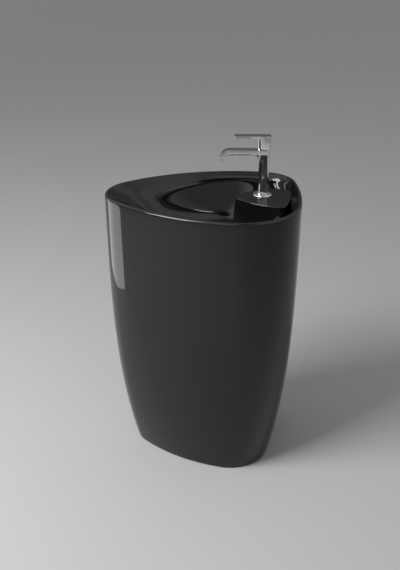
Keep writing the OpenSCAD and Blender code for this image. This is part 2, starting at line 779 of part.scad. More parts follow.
module waste_under_seal() {
    color([0.12, 0.12, 0.12])
    at_waste() translate([0, 0, -bowl_t - under_seal_t]) tube(waste_hole_d + 12, waste_thread_d, under_seal_t, 96);
}

module waste_back_nut() {
    color([0.75, 0.65, 0.35])
    at_waste() translate([0, 0, -bowl_t - under_seal_t - back_nut_h])
        hex_nut(waste_thread_d + 13, waste_thread_d, back_nut_h);
}

module click_guide() {
    color([0.85, 0.85, 0.83])
    at_waste() translate([0, 0, guide_z]) difference() {
        union() {
            tube(waste_bore_d, waste_bore_d - 4, 6);
            translate([0, 0, -12]) cylinder(d = plunger_d + 5, h = guide_top - guide_z + 12, $fn = 48);
            for (a = [90 : 120 : 330]) rotate([0, 0, a]) translate([4, -1.2, 0])
                cube([waste_bore_d / 2 - 5, 2.4, 4]);
        }
        translate([0, 0, -12 - e]) cylinder(d = plunger_d + 2 * slide_clear, h = 30, $fn = 48);
    }
}

// Round wire wound on a helix, ends closed
module helix(r, wire, low, high, turns) {
    steps = 14 * turns;
    sides = 6;
    rings = [for (i = [0 : steps]) let (a = 360 * turns * i / steps, z = lerp(low, high, i / steps))
        [for (k = [0 : sides - 1]) let (b = 360 * k / sides + 30)
            [(r + wire / 2 * cos(b)) * cos(a), (r + wire / 2 * cos(b)) * sin(a), z + wire / 2 * sin(b)]]];
    polyhedron(points = [for (q = rings) each q],
        faces = concat([[for (k = [0 : sides - 1]) k]],
            [for (i = [0 : steps - 1], k = [0 : sides - 1]) each
                let (a = i * sides + k, b = i * sides + (k + 1) % sides)
                [[a, b + sides, b], [a, a + sides, b + sides]]],
            [[for (k = [sides - 1 : -1 : 0]) steps * sides + k]]));
}

spring_wire = 1.2;
spring_low = guide_top + spring_wire / 2;
spring_high = boss_low - spring_wire / 2;

module click_spring() {
    color([0.75, 0.75, 0.76])
    at_waste() helix(plunger_d / 2 + 2, spring_wire, spring_low, spring_high, 5);
}

module click_plunger() {
    stop_z = guide_z - 12 - cover_travel - 0.5;
    color([0.75, 0.75, 0.76])
    at_waste() {
        translate([0, 0, stop_z]) cylinder(d = plunger_d, h = cover_low - stop_z, $fn = 48);
        translate([0, 0, stop_z - 3]) cylinder(d = plunger_d + 4, h = 3, $fn = 48);
        translate([0, 0, boss_low]) cylinder(d = boss_d, h = cover_low - boss_low, $fn = 48);
    }
}

module waste_cover() {
    dome = 2.5;
    edge_t = 3.5;
    steps = 6;
    color([0.05, 0.05, 0.05])
    at_waste() translate([0, 0, cover_low]) rotate_extrude($fn = 96) polygon(concat(
        [[0, 0], [cover_d / 2 - 1.5, 0], [cover_d / 2, 1.5]],
        [for (a = [0 : 22.5 : 90]) [cover_d / 2 - 2 * (1 - cos(a)), edge_t - 2 + 2 * sin(a)]],
        [for (i = [1 : steps]) let (t = i / steps)
            [(cover_d / 2 - 2) * (1 - t), edge_t + dome * (1 - pow(1 - t, 2))]]));
}

module cover_seal() {
    color([0.12, 0.12, 0.12])
    at_waste() translate([0, 0, flange_top + cover_gap])
        tube(waste_bore_d + 12, waste_bore_d + 7, cover_seal_t, 64);
}

// Bottle trap under the waste and the pipe to the floor
nut_wall = 4;
thread_end = waste_floor + flange_top - waste_len;
washer_t = 5;
trap_d = 62;
trap_wall = 3;
trap_top = trap_low + 120;
trap_joint = trap_low + 32;
port_z = trap_top - 32;
port_d = pipe_d + 8;
port_end = trap_d / 2 + 26;
elbow_r = 32;
grip_count = 12;
module at_trap() { translate([waste_x, waste_y, 0]) children(); }
// Frame of the outlet port: +Z points along -X
module at_port() { at_trap() translate([0, 0, port_z]) rotate([0, -90, 0]) children(); }

// Round slip nut with grips: threaded wide above, closed in to the pipe below
module slip_nut(thread_d, h, lip) {
    difference() {
        union() {
            cylinder(d = thread_d + 2 * nut_wall, h = h, $fn = 64);
            for (a = [0 : 360 / grip_count : 359]) rotate([0, 0, a])
                translate([thread_d / 2 + nut_wall - 1, -1.5, 1]) cube([2.2, 3, h - 2]);
        }
        translate([0, 0, -e]) cylinder(d = pipe_d, h = h + 2 * e, $fn = 64);
        translate([0, 0, lip]) cylinder(d = thread_d, h = h, $fn = 64);
    }
}

module trap_inlet_nut() {
    color([0.8, 0.81, 0.83])
    translate([waste_x, waste_y, thread_end - washer_t - 3]) slip_nut(waste_thread_d, washer_t + 15, 3);
}

module trap_inlet_washer() {
    color([0.12, 0.12, 0.12])
    translate([waste_x, waste_y, thread_end - washer_t]) tube(waste_thread_d, pipe_d, washer_t);
}

module trap_inlet_pipe() {
    low = trap_low + 20;
    color([0.8, 0.81, 0.83])
    translate([waste_x, waste_y, low]) tube(pipe_d, pipe_d - 2 * pipe_wall, thread_end - low);
}

module trap_body() {
    color([0.8, 0.81, 0.83])
    difference() {
        union() {
            at_trap() translate([0, 0, trap_joint]) cylinder(d = trap_d, h = trap_top - trap_joint - 8, $fn = 96);
            at_trap() translate([0, 0, trap_top - 8]) cylinder(d1 = trap_d, d2 = pipe_d + 14, h = 8, $fn = 96);
            at_port() cylinder(d = port_d, h = port_end, $fn = 64);
        }
        at_trap() translate([0, 0, trap_joint - e])
            cylinder(d = trap_d - 2 * trap_wall, h = trap_top - trap_joint - 8 - trap_wall + e, $fn = 96);
        at_trap() translate([0, 0, trap_top - 20]) cylinder(d = pipe_d, h = 20 + e, $fn = 64);
        at_port() translate([0, 0, trap_d / 2 - trap_wall - 6]) cylinder(d = pipe_d, h = port_end, $fn = 64);
    }
}

module trap_cup() {
    seal_h = 2;
    color([0.8, 0.81, 0.83])
    at_trap() translate([0, 0, trap_low]) difference() {
        union() {
            translate([0, 0, 6]) cylinder(d = trap_d + 6, h = trap_joint - trap_low + 6, $fn = 96);
            cylinder(d1 = trap_d - 8, d2 = trap_d + 6, h = 6, $fn = 96);
            for (a = [0 : 360 / grip_count : 359]) rotate([0, 0, a])
                translate([trap_d / 2 + 2.2, -2, 10]) cube([2.2, 4, trap_joint - trap_low - 4]);
        }
        translate([0, 0, 4]) cylinder(d = trap_d - 2 * trap_wall, h = trap_joint - trap_low, $fn = 96);
        translate([0, 0, trap_joint - trap_low - seal_h]) cylinder(d = trap_d, h = 30, $fn = 96);
    }
}

module trap_cup_seal() {
    seal_h = 2;
    color([0.12, 0.12, 0.12])
    at_trap() translate([0, 0, trap_joint - seal_h]) tube(trap_d, trap_d - 2 * trap_wall, seal_h, 96);
}

module trap_outlet_nut() {
    color([0.8, 0.81, 0.83])
    at_port() translate([0, 0, port_end + washer_t + 3]) mirror([0, 0, 1]) slip_nut(port_d, washer_t + 15, 3);
}

module trap_outlet_washer() {
    color([0.12, 0.12, 0.12])
    at_port() translate([0, 0, port_end]) tube(port_d, pipe_d, washer_t);
}

module waste_pipe() {
    inner = pipe_d - 2 * pipe_wall;
    start = port_end - 12;
    color([0.8, 0.81, 0.83]) {
        at_port() translate([0, 0, start]) tube(pipe_d, inner, outlet_reach - elbow_r - start);
        translate([waste_x - outlet_reach, waste_y, port_z - elbow_r]) bend(pipe_d, inner, elbow_r, 90);
        translate([waste_x - outlet_reach, waste_y, 0]) tube(pipe_d, inner, port_z - elbow_r);
    }
}

// Water supply from the floor to the tap
riser_y = tap_y + 27;
riser_mid = tap_x - 47;
riser_wall = 1;
riser_neck = 0.5; // how much the pipe's diameter is drawn down where the nut grips it
riser_nut_h = 12;
valve_d = 22;
valve_half = 17;
port_in = 10;
bonnet_out = 20;
spindle_out = 6;
tail_turn = 35;
tail_r = 30;
tail_wall = 1;
function riser_x(s) = riser_mid + s * riser_gap / 2;
module at_valve(s) { translate([riser_x(s), riser_y, valve_h]) children(); }

module riser(s) {
    neck_z = valve_h - valve_half - riser_nut_h - 2;
    top = valve_h - valve_half + port_in;
    color([0.72, 0.45, 0.3])
    translate([riser_x(s), riser_y, 0]) difference() {
        union() {
            cylinder(d = riser_d, h = neck_z, $fn = 64);
            cylinder(d = riser_d - riser_neck, h = top, $fn = 64);
        }
        translate([0, 0, -e]) cylinder(d = riser_d - riser_neck - 2 * riser_wall, h = top + 2 * e, $fn = 64);
    }
}

module valve_body(s) {
    color([0.8, 0.81, 0.83])
    at_valve(s) difference() {
        union() {
            translate([0, 0, -valve_half]) cylinder(d = valve_d, h = 2 * valve_half, $fn = 64);
            rotate([-90, 0, 0]) cylinder(d = valve_d - 6, h = bonnet_out, $fn = 64);
        }
        translate([0, 0, -valve_half - e]) cylinder(d = riser_d - riser_neck, h = port_in + e, $fn = 48);
        translate([0, 0, valve_half - port_in]) cylinder(d = tail_d, h = port_in + e, $fn = 48);
        translate([0, 0, -valve_half]) cylinder(d = tail_d - 2, h = 2 * valve_half, $fn = 48);
        rotate([-90, 0, 0]) translate([0, 0, tail_d]) cylinder(d = spindle_out + 2 * spindle_clear, h = 30, $fn = 48);
    }
}

module valve_nuts() {
    color([0.75, 0.65, 0.35])
    for (s = [-1, 1]) at_valve(s) {
        translate([0, 0, -valve_half - riser_nut_h]) hex_nut(riser_d + 9, riser_d - riser_neck, riser_nut_h);
        translate([0, 0, valve_half]) hex_nut(tail_d + 9, tail_d, 11);
    }
}

module valve_knob(s) {
    color(s < 0 ? [0.6, 0.1, 0.1] : [0.1, 0.2, 0.6])
    at_valve(s) rotate([-90, 0, 0]) {
        translate([0, 0, tail_d + 0.5]) cylinder(d = spindle_out, h = bonnet_out - tail_d, $fn = 48);
        translate([0, 0, bonnet_out + 0.4]) difference() {
            union() {
                cylinder(d = 16, h = 9, $fn = 64);
                for (x = [-1, 1]) translate([x * 12, 0, 0]) cylinder(d = 8, h = 9, $fn = 48);
                translate([-12, -4, 0]) cube([24, 8, 9]);
            }
            translate([0, 0, 5]) cylinder(d = 9, h = 9, $fn = 48);
        }
        translate([0, 0, bonnet_out]) cylinder(d = spindle_out, h = 6, $fn = 48);
    }
}

// Copper tail: up from the valve, over towards the tap at an angle, and up into its body.
// The tube draws down a little where it is bent.
module tail_run(d, first, slope, last, out) {
    necked = d - 0.1;
    across = tail_r * (1 - cos(tail_turn));
    rise = tail_r * sin(tail_turn);
    translate([0, 0, -out]) cylinder(d = d, h = first + out, $fn = 40);
    translate([0, 0, first]) rod_bend(necked, tail_r, tail_turn);
    translate([across, 0, first + rise]) rotate([0, tail_turn, 0]) {
        cylinder(d = d, h = slope, $fn = 40);
        translate([0, 0, slope]) mirror([1, 0, 0]) rod_bend(necked, tail_r, tail_turn);
    }
    translate([2 * across + slope * sin(tail_turn), 0, first + 2 * rise + slope * cos(tail_turn)])
        cylinder(d = d, h = last + out, $fn = 40);
}

module tail(s) {
    from = [riser_x(s), riser_y];
    to = [tap_x + s * inlet_x, tap_y + inlet_y];
    low = valve_h + valve_half - port_in;
    high = deck_z + body_foot + inlet_depth;
    first = s < 0 ? 280 : 180;
    slope = (norm(to - from) - 2 * tail_r * (1 - cos(tail_turn))) / sin(tail_turn);
    last = high - low - first - 2 * tail_r * sin(tail_turn) - slope * cos(tail_turn);
    color([0.72, 0.45, 0.3])
    translate([from.x, from.y, low]) rotate([0, 0, atan2(to.y - from.y, to.x - from.x)]) difference() {
        tail_run(tail_d, first, slope, last, 0);
        tail_run(tail_d - 2 * tail_wall, first, slope, last, e);
    }
}

module floor_brackets() {
    color([0.6, 0.61, 0.62])
    for (s = [-1, 1]) at_bracket(s) difference() {
        union() {
            translate([-bracket_w / 2, -bracket_back - bracket_t, 0]) cube([bracket_w, bracket_t, bracket_h]);
            translate([-bracket_w / 2, -bracket_back - bracket_foot, 0]) cube([bracket_w, bracket_foot, bracket_t]);
        }
        translate([0, -bracket_back - bracket_t - e, bolt_z]) rotate([-90, 0, 0])
            cylinder(d = bolt_d, h = bracket_t + 2 * e, $fn = 48);
        translate([0, -bracket_back - bracket_t - (bracket_foot - bracket_t) / 2, -e])
            cylinder(d = bracket_hole_d, h = bracket_t + 2 * e, $fn = 48);
    }
}

// Plastic sleeves through the ceramic wall, from the bracket to just outside
sleeve_out = 4;
module bracket_sleeves() {
    color([0.85, 0.85, 0.83])
    for (s = [-1, 1]) at_bracket(s) translate([0, -bracket_back, bolt_z]) rotate([-90, 0, 0])
        tube(sleeve_d, bolt_d, bracket_back + sleeve_out, 48);
}

bolt_head_t = 5;
module bracket_bolts() {
    color([0.75, 0.75, 0.76])
    for (s = [-1, 1]) at_bracket(s) translate([0, 0, bolt_z]) rotate([-90, 0, 0]) {
        translate([0, 0, -bracket_back - bracket_t - 10])
            cylinder(d = bolt_d, h = bracket_back + bracket_t + 10 + sleeve_out, $fn = 48);
        translate([0, 0, sleeve_out]) hex(13, bolt_head_t);
        translate([0, 0, -bracket_back - bracket_t - 6.5]) hex_nut(13, bolt_d, 6.5);
    }
}

module bolt_caps() {
    color([0.08, 0.08, 0.08])
    for (s = [-1, 1]) at_bracket(s) translate([0, sleeve_out, bolt_z]) rotate([-90, 0, 0]) difference() {
        union() {
            cylinder(d = 20, h = bolt_head_t, $fn = 64);
            translate([0, 0, bolt_head_t]) cylinder(d1 = 20, d2 = 15, h = 2, $fn = 64);
        }
        translate([0, 0, -e]) hex(13, bolt_head_t + e);
    }
}

waste_flange_seal();
waste_body();
waste_under_seal();
waste_back_nut();
click_guide();
click_spring();
click_plunger();
waste_cover();
cover_seal();
trap_inlet_nut();
trap_inlet_washer();
trap_inlet_pipe();
trap_body();
trap_cup();
trap_cup_seal();
trap_outlet_nut();
trap_outlet_washer();
waste_pipe();
riser(-1);  // hot_riser
riser(1);  // cold_riser
valve_body(-1);  // hot_valve_body
valve_body(1);  // cold_valve_body
valve_nuts();
valve_knob(-1);  // hot_valve_knob
valve_knob(1);  // cold_valve_knob
tail(-1);  // hot_tail
tail(1);  // cold_tail
floor_brackets();
bracket_sleeves();
bracket_bolts();
bolt_caps();
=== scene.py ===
import bpy
import bmesh
import json
from math import atan2, cos, hypot, pi, radians, sin, sqrt
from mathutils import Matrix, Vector

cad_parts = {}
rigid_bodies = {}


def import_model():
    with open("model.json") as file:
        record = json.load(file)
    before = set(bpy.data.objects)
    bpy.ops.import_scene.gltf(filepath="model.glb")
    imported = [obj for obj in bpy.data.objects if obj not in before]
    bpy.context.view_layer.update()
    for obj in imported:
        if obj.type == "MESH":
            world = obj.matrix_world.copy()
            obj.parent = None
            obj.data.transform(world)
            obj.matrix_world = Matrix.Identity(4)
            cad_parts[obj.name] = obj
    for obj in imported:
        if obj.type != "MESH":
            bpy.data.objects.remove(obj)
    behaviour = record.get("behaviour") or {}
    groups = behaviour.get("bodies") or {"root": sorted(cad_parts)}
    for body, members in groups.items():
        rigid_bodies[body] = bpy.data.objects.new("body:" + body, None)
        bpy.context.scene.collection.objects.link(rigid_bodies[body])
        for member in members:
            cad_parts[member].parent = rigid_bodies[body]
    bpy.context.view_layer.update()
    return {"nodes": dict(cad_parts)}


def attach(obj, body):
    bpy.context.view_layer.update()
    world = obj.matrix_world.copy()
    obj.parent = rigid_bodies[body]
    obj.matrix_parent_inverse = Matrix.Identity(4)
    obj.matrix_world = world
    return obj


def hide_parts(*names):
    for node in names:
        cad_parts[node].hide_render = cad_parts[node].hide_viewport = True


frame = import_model()
cadNodes = frame["nodes"]
mm = 0.001
smoothUnder = radians(32)  # edges flatter than this are shaded smooth
rearFacing = 0.3  # share of +Y in a facing, above which a wall counts as the back

# camera at the height of a standing person, looking down at the basin
viewpoint = {
    "place": (0.0242, -2.0861, 1.5691),
    "lookDown": 27.0,
    "turn": 0.9,
    "lens": 48.27,
    "rise": 0.0263,
}


def addCamera(spec):
    bpy.ops.object.camera_add(
        location=spec["place"], rotation=(radians(90 - spec["lookDown"]), 0, radians(spec["turn"]))
    )
    camera = bpy.context.object
    camera.data.lens = spec["lens"]
    camera.data.shift_y = spec["rise"]
    bpy.context.scene.camera = camera


addCamera(viewpoint)
print("camera placed")


# ---- materials: a socket that can be used in sums, and a material that makes its own nodes


class Wire:
    def __init__(self, finish, socket):
        self.finish = finish
        self.socket = socket

    def sum(self, operation, other):
        return self.finish.node("Math", {"operation": operation}, {0: self, 1: other})

    def __add__(self, other):
        return self.sum("ADD", other)

    __radd__ = __add__

    def __mul__(self, other):
        return self.sum("MULTIPLY", other)


class Finish:
    def __init__(self, name, **constants):
        self.material = bpy.data.materials.new(name)
        self.material.use_nodes = True
        self.tree = self.material.node_tree
        self.shader = self.tree.nodes["Principled BSDF"]
        for socketName, value in constants.items():
            self.shader.inputs[socketName.replace("_", " ")].default_value = value
        self.place = self.node("TexCoord", output="Object")

    def node(self, kind, settings=None, sockets=None, output=0):
        made = self.tree.nodes.new("ShaderNode" + kind)
        for key, value in (settings or {}).items():
            setattr(made, key, value)
        for key, value in (sockets or {}).items():
            if isinstance(value, Wire):
                self.tree.links.new(value.socket, made.inputs[key])
            else:
                made.inputs[key].default_value = value
        return Wire(self, made.outputs[output])

    def stretched(self, scale):
        return self.node("Mapping", {}, {"Vector": self.place, "Scale": scale})

    def noise(self, scale, detail=2.0, roughness=0.5, where=None):
        return self.node(
            "TexNoise",
            {},
            {"Vector": where or self.place, "Scale": scale, "Detail": detail, "Roughness": roughness},
        )

    def between(self, wire, low, high):  # 0 below low, 1 above high
        return self.node("MapRange", {"interpolation_type": "SMOOTHSTEP"}, {0: wire, 1: low, 2: high})

    def blend(self, mask, first, second):
        return self.node("Mix", {"data_type": "RGBA"}, {0: mask, 6: first, 7: second}, output=2)

    def feed(self, socketName, wire):
        self.tree.links.new(wire.socket, self.shader.inputs[socketName])

    def bump(self, height, strength, distance):
        self.feed(
            "Normal",
            self.node("Bump", {}, {"Height": height, "Strength": strength, "Distance": distance}),
        )


def tint(r, g, b):
    return (r, g, b, 1.0)


def grey(level, blue=None):
    return tint(level, level, level if blue is None else blue)


def blackGlaze():
    f = Finish("blackGlaze", Specular_IOR_Level=0.5)
    cloud = f.noise(6.0, 3.0)
    f.feed("Base Color", f.blend(cloud, tint(0.0052, 0.0052, 0.0050), tint(0.0072, 0.0072, 0.0069)))
    dust = f.between(f.noise(38.0, 5.0, 0.6), 0.45, 0.8)
    f.feed("Roughness", 0.035 + dust * 0.03)
    f.bump(f.noise(11.0, 1.0) * 0.85 + f.noise(95.0, 2.0) * 0.15, 0.35, 0.0006)
    return f.material


def bareFireclay():
    f = Finish("bareFireclay", Specular_IOR_Level=0.3)
    height = f.node("SeparateXYZ", {}, {0: f.place}, output=2)
    spray = f.between(height + f.noise(30.0, 4.0) * 0.05, 0.02, 0.055)
    grog = f.noise(320.0, 4.0, 0.7)
    clay = f.blend(f.noise(9.0, 4.0), tint(0.40, 0.35, 0.28), tint(0.52, 0.47, 0.39))
    speckled = f.blend(f.between(grog, 0.62, 0.7), clay, tint(0.25, 0.2, 0.15))
    f.feed("Base Color", f.blend(spray, tint(0.05, 0.045, 0.04), speckled))
    f.feed("Roughness", 0.5 + spray * 0.38)
    f.bump(grog, 0.5, 0.0006)
    return f.material


def chromePlate(name, shade):
    f = Finish(name, Metallic=1.0)
    wipe = f.noise(7.0, 5.0, 0.65, f.stretched((1.0, 1.0, 3.0)))
    f.feed("Base Color", f.blend(wipe, grey(shade, shade * 1.02), grey(shade * 1.08, shade * 1.1)))
    smear = f.between(f.noise(55.0, 6.0, 0.7), 0.4, 0.75)
    f.feed("Roughness", 0.1 + smear * 0.05)
    f.bump(f.noise(60.0, 2.0), 0.06, 0.0003)
    return f.material


def turnedBrass():
    f = Finish("turnedBrass", Metallic=1.0)
    rings = f.noise(30.0, 3.0, 0.6, f.stretched((1.0, 1.0, 22.0)))
    tarnish = f.between(f.noise(45.0, 4.0), 0.45, 0.75)
    f.feed("Base Color", f.blend(tarnish, tint(0.72, 0.52, 0.22), tint(0.5, 0.34, 0.13)))
    f.feed("Roughness", 0.2 + rings * 0.15 + tarnish * 0.12)
    f.bump(rings, 0.25, 0.0003)
    return f.material


def copperPipe():
    f = Finish("copperPipe", Metallic=1.0)
    drawn = f.noise(20.0, 4.0, 0.6, f.stretched((60.0, 60.0, 1.0)))
    patina = f.between(f.noise(18.0, 5.0, 0.6), 0.42, 0.72)
    f.feed("Base Color", f.blend(patina, tint(0.78, 0.38, 0.22), tint(0.42, 0.19, 0.1)))
    f.feed("Roughness", 0.2 + patina * 0.2)
    f.bump(drawn, 0.15, 0.0003)
    return f.material


def brushedSteel(shade=0.55):
    f = Finish("stainlessSteel", Metallic=1.0)
    grain = f.noise(90.0, 4.0, 0.6, f.stretched((1.0, 12.0, 12.0)))
    f.feed("Base Color", f.blend(grain, grey(shade), grey(shade * 1.15, shade * 1.16)))
    f.feed("Roughness", 0.26 + grain * 0.14)
    f.bump(grain, 0.2, 0.0002)
    return f.material


def zincPlate():
    f = Finish("zincPlate", Metallic=0.9)
    spangle = f.node("TexVoronoi", {}, {"Vector": f.place, "Scale": 160.0}, output="Color")
    patch = f.node("SeparateColor", {}, {0: spangle})
    f.feed("Base Color", f.blend(patch, tint(0.42, 0.43, 0.45), tint(0.6, 0.61, 0.62)))
    f.feed("Roughness", 0.3 + patch * 0.2)
    f.bump(f.noise(120.0, 3.0), 0.15, 0.0003)
    return f.material


def mouldedPlastic(name, colour, gloss=0.4, grain=260.0):
    f = Finish(name, Specular_IOR_Level=0.45)
    cloud = f.noise(24.0, 3.0)
    dark = tint(*[c * 0.82 for c in colour])
    f.feed("Base Color", f.blend(cloud, dark, tint(*colour)))
    spark = f.noise(grain, 3.0, 0.6)
    f.feed("Roughness", gloss + spark * 0.15)
    f.bump(spark, 0.2, 0.0002)
    return f.material


def softRubber():
    f = Finish("softRubber", Specular_IOR_Level=0.35)
    chalk = f.between(f.noise(40.0, 5.0, 0.7), 0.5, 0.8)
    f.feed("Base Color", f.blend(chalk, tint(0.018, 0.018, 0.018), tint(0.05, 0.05, 0.048)))
    f.feed("Roughness", 0.6 + chalk * 0.2)
    f.bump(f.noise(400.0, 3.0), 0.25, 0.0002)
    return f.material


finishes = {
    "glaze": blackGlaze(),
    "fireclay": bareFireclay(),
    # the tap's chrome colour is set lighter than real chrome: the chrome's own tone plus a painted
    # sheen that stands in for brighter reflections
    "chrome": chromePlate("chromeWithPaintedSheen", 0.78),
    "trapChrome": chromePlate("plumbingChrome", 0.55),
    "rubber": softRubber(),
    "brass": turnedBrass(),
    "copper": copperPipe(),
    "steel": brushedSteel(),
    "zinc": zincPlate(),
    "greyPlastic": mouldedPlastic("greyAcetal", (0.09, 0.09, 0.1), 0.45),
    "darkPlastic": mouldedPlastic("darkNylon", (0.03, 0.03, 0.032), 0.5),
    "creamPlastic": mouldedPlastic("creamAcetal", (0.66, 0.6, 0.46), 0.35),
    "whitePlastic": mouldedPlastic("whiteNylon", (0.72, 0.72, 0.68), 0.4),
    "blackPlastic": mouldedPlastic("blackCap", (0.02, 0.02, 0.02), 0.2),
    "redPlastic": mouldedPlastic("redKnob", (0.5, 0.02, 0.015), 0.25),
    "bluePlastic": mouldedPlastic("blueKnob", (0.015, 0.06, 0.4), 0.25),
}
nodeFinish = {
    "trapChrome": "waste_body trap_inlet_nut trap_inlet_pipe trap_body trap_cup trap_outlet_nut"
    " waste_pipe hot_valve_body cold_valve_body",
    "chrome": "tap_base_plate tap_body lever",
    "glaze": "basin waste_cover",
    "rubber": "tap_gasket horseshoe_gasket waste_flange_seal waste_under_seal cover_seal"
    " trap_inlet_washer trap_outlet_washer trap_cup_seal",
    "brass": "tap_stud stud_nut cartridge_nut waste_back_nut valve_nuts click_plunger",
    "steel": "horseshoe_washer cartridge_stem lever_pin click_spring bracket_bolts",
    "zinc": "floor_brackets",
    "greyPlastic": "aerator_insert",
    "darkPlastic": "lever_carrier",
    "creamPlastic": "cartridge",
    "whitePlastic": "click_guide bracket_sleeves",
    "copper": "hot_riser cold_riser hot_tail cold_tail",
    "redPlastic": "hot_valve_knob",
    "bluePlastic": "cold_valve_knob",
    "blackPlastic": "bolt_caps",
}
for finishName, names in nodeFinish.items():
    for name in names.split():
        mesh = cadNodes[name].data
        mesh.materials.clear()
        mesh.materials.append(finishes[finishName])
print("materials on", len(cadNodes), "nodes")


# ---- ceramic body, by the same curves as the solid model, at a finer step

basin = {
    "rimHeight": 845.0,
    "lipRadius": 8.0,
    "corners": ((105, -60, 171), (171, 117, 108), (-163, 21, 121)),
    "bulges": (753, 547, 565),
    "footInset": 44.0,
    "footFrontIn": (18, 12),
    "footTipIn": 25.0,
    "taperPower": 2.72,
    "taperEase": 0.48,
    "wall": 14.0,
    "footRound": 3.0,
    "bowlDeep": 130.0,
    "channelDeep": 60.0,
    "flangeShare": 0.19,
    "flangeFall": 0.2,
    "flangeBend": 0.07,
    "floorShare": 0.7,
    "slope": (45, 191),
    "bowlThick": 14.0,
    "waste": (10, 20, 22.5),
    "tapHole": (172, 35, 17.5),
    "deckDrop": 12.0,
    "deckCorners": ((217, -50, 19), (227, 61, 31), (126, 19, 32)),
    "deckBulges": (400, 155, 200),
    "deckEdge": 3.0,
    "deckDraft": 0.085,
    "deckThick": 10.0,
    "coveLargest": 12.0,
    "coveShare": 0.3,
    "underLead": (0.8, 0.9),
    "capInset": 0.6,
    "lipEnd": 112,
    "cornerSteps": 44,
    "sideSteps": 36,
    "rings": {
        "edge": 8,
        "deckSide": 6,
        "cove": 8,
        "bowl": 60,
        "lip": 14,
        "wall": 56,
        "foot": 6,
        "inner": 19,
        "under": 14,
    },
    "wallSpread": 1.15,
    "innerTop": 0.75,
    "innerSpread": 1.3,
    "service": {
        "middle": 20,
        "width": 200,
        "height": 520,
        "radius": 70,
        "edge": 3.0,
        "sideSteps": 24,
        "archSteps": 16,
        "headSteps": 10,
        "edgeAngles": (75, 60, 45, 30, 15, 0),
        "edgeOverrun": 0.27,
        "below": 20.0,
        "reach": (260, 60),
    },
    "sleeves": {"places": (-105, 145), "height": 38, "radius": 6},
    "drills": {"below": 7, "through": 30, "intoWall": 60},
}


def bulgeCentre(a, b, r):
    across = hypot(b[0] - a[0], b[1] - a[1])
    ux, uy = (b[0] - a[0]) / across, (b[1] - a[1]) / across
    along = (across**2 + (r - a[2]) ** 2 - (r - b[2]) ** 2) / (2 * across)
    off = sqrt(max(0.0, (r - a[2]) ** 2 - along**2))
    return a[0] + ux * along - uy * off, a[1] + uy * along + ux * off


def turned(start, end):
    return (end - start + 4 * pi) % (2 * pi)


def joints(corners, bulges):  # centres of the sides; directions where each corner arc begins and ends
    middle = [bulgeCentre(corners[k], corners[(k + 1) % 3], bulges[k]) for k in range(3)]

    def meeting(k, side):
        return atan2(corners[k][1] - middle[side][1], corners[k][0] - middle[side][0])

    into = [meeting(k, (k + 2) % 3) for k in range(3)]
    out = [meeting(k, k) for k in range(3)]
    return middle, into, out


def directions(s):  # directions in which the points of every curve face
    middle, into, out = joints(s["corners"], s["bulges"])
    facing = []
    for k in range(3):
        for start, end, steps in (
            (into[k], out[k], s["cornerSteps"]),
            (out[k], into[(k + 1) % 3], s["sideSteps"]),
        ):
            facing += [start + turned(start, end) * i / steps for i in range(steps)]
    return facing


def outline(corners, bulges, s):
    middle, into, out = joints(corners, bulges)
    points = []
    for a in s["facing"]:
        k = max(k for k in range(3) if turned(into[k], a) < turned(into[k], into[(k + 1) % 3]))
        onCorner = turned(into[k], a) <= turned(into[k], out[k])
        centre, r = (corners[k], corners[k][2]) if onCorner else (middle[k], bulges[k])
        points.append((centre[0] + r * cos(a), centre[1] + r * sin(a), cos(a), sin(a)))
    return points


def inset(curve, d, z):
    return [(p[0] - d * p[2], p[1] - d * p[3], z) for p in curve]


def lerp(a, b, t):
    return a + (b - a) * t


def smoothStep(t):
    t = min(1.0, max(0.0, t))
    return t * t * (3 - 2 * t)


def wallPlan(z, s):
    lipZ = s["rimHeight"] - s["lipRadius"]
    h = min(1.0, max(0.0, z) / lipZ)
    g = (1 - h) ** s["taperPower"] * (1 - s["taperEase"] * h)
    d = s["footInset"] * g
    (fx, fy, fr), (rx, ry, rr), (tx, ty, tr) = s["corners"]
    corners = (
        (fx - s["footFrontIn"][0] * g, fy + s["footFrontIn"][1] * g, fr - d),
        (rx, ry, rr - d),
        (tx + s["footTipIn"] * g, ty, tr - d),
    )
    return outline(corners, [b - d for b in s["bulges"]], s)


def backFace(x, z, depth, s):  # y of the back wall at x and z, a depth inside, and where it faces
    ring = [(p[0] - depth * p[2], p[1] - depth * p[3], p[2], p[3]) for p in wallPlan(z, s)]
    for a, b in zip(ring, ring[1:] + ring[:1]):
        if a[3] > rearFacing and a[0] >= x > b[0]:
            t = (a[0] - x) / (a[0] - b[0])
            return lerp(a[1], b[1], t), atan2(lerp(a[3], b[3], t), lerp(a[2], b[2], t))
    return 0.0, 0.0


def fall(u, s):  # share of the depth reached at share u of the way from the lip to the deck's cove
    share, bend = s["flangeShare"], s["flangeBend"]
    flange = s["flangeFall"] / share
    wall = (1 - s["flangeFall"]) / ((s["floorShare"] + share + bend) / 2 - share)

    def ramp(start, end):
        t = (u - start) / (end - start)
        return (end - start) * (0 if t < 0 else t**3 - t**4 / 2 if t < 1 else t - 0.5)

    bent = (wall - flange) * ramp(share - bend, share + bend)
    return flange * u + bent - wall * ramp(share + bend, s["floorShare"])


